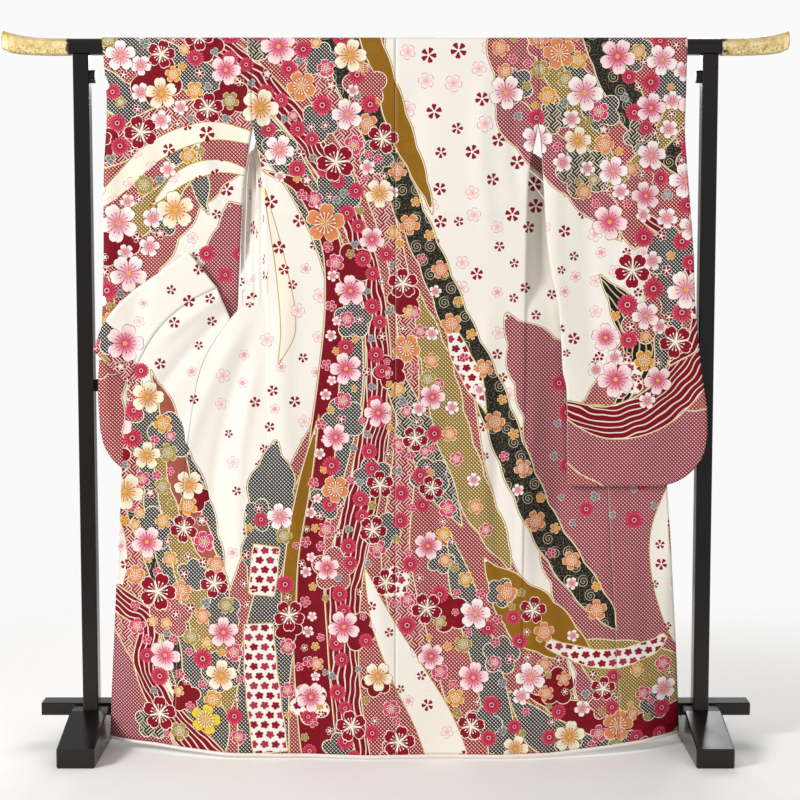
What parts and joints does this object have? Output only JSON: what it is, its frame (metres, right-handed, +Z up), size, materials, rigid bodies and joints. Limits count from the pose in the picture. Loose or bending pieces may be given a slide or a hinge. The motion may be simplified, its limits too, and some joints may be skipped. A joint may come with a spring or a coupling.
{
  "type": "furisode kimono on a kimono stand",
  "caption": "Long-sleeved silk kimono shown from its back with the fronts opened out, hung over the rod of a black lacquered kimono stand.",
  "frame": {"origin": "centre of the footprint, on the surface that the stand's feet stand on", "axes": "+X along the rod to the right sleeve as seen, +Y away from the back panels, +Z up"},
  "size_m": [1.79, 0.4, 1.657],
  "materials": {
    "printed_silk": "dyed silk crepe with flowers, tie-dye dots and gold outlines on a cream ground",
    "lining_silk": "plain cream silk lining",
    "black_lacquer": "black lacquer on wood, smooth and glossy",
    "gold_leaf": "mottled gold leaf over lacquer"
  },
  "bodies": {
    "root": {"body_left": "printed_silk", "body_right": "printed_silk", "okumi_left": "printed_silk", "okumi_right": "printed_silk", "collar": "printed_silk", "sleeve_left": "printed_silk", "sleeve_right": "printed_silk", "hem_roll": "lining_silk", "rod": "black_lacquer", "tip_left": "gold_leaf", "tip_right": "gold_leaf", "foot_left": "black_lacquer", "foot_right": "black_lacquer", "post_left": "black_lacquer", "post_right": "black_lacquer", "peg_left": "black_lacquer", "peg_right": "black_lacquer", "mid_rail": "black_lacquer", "tie_rail": "black_lacquer"}
  },
  "joints": []
}
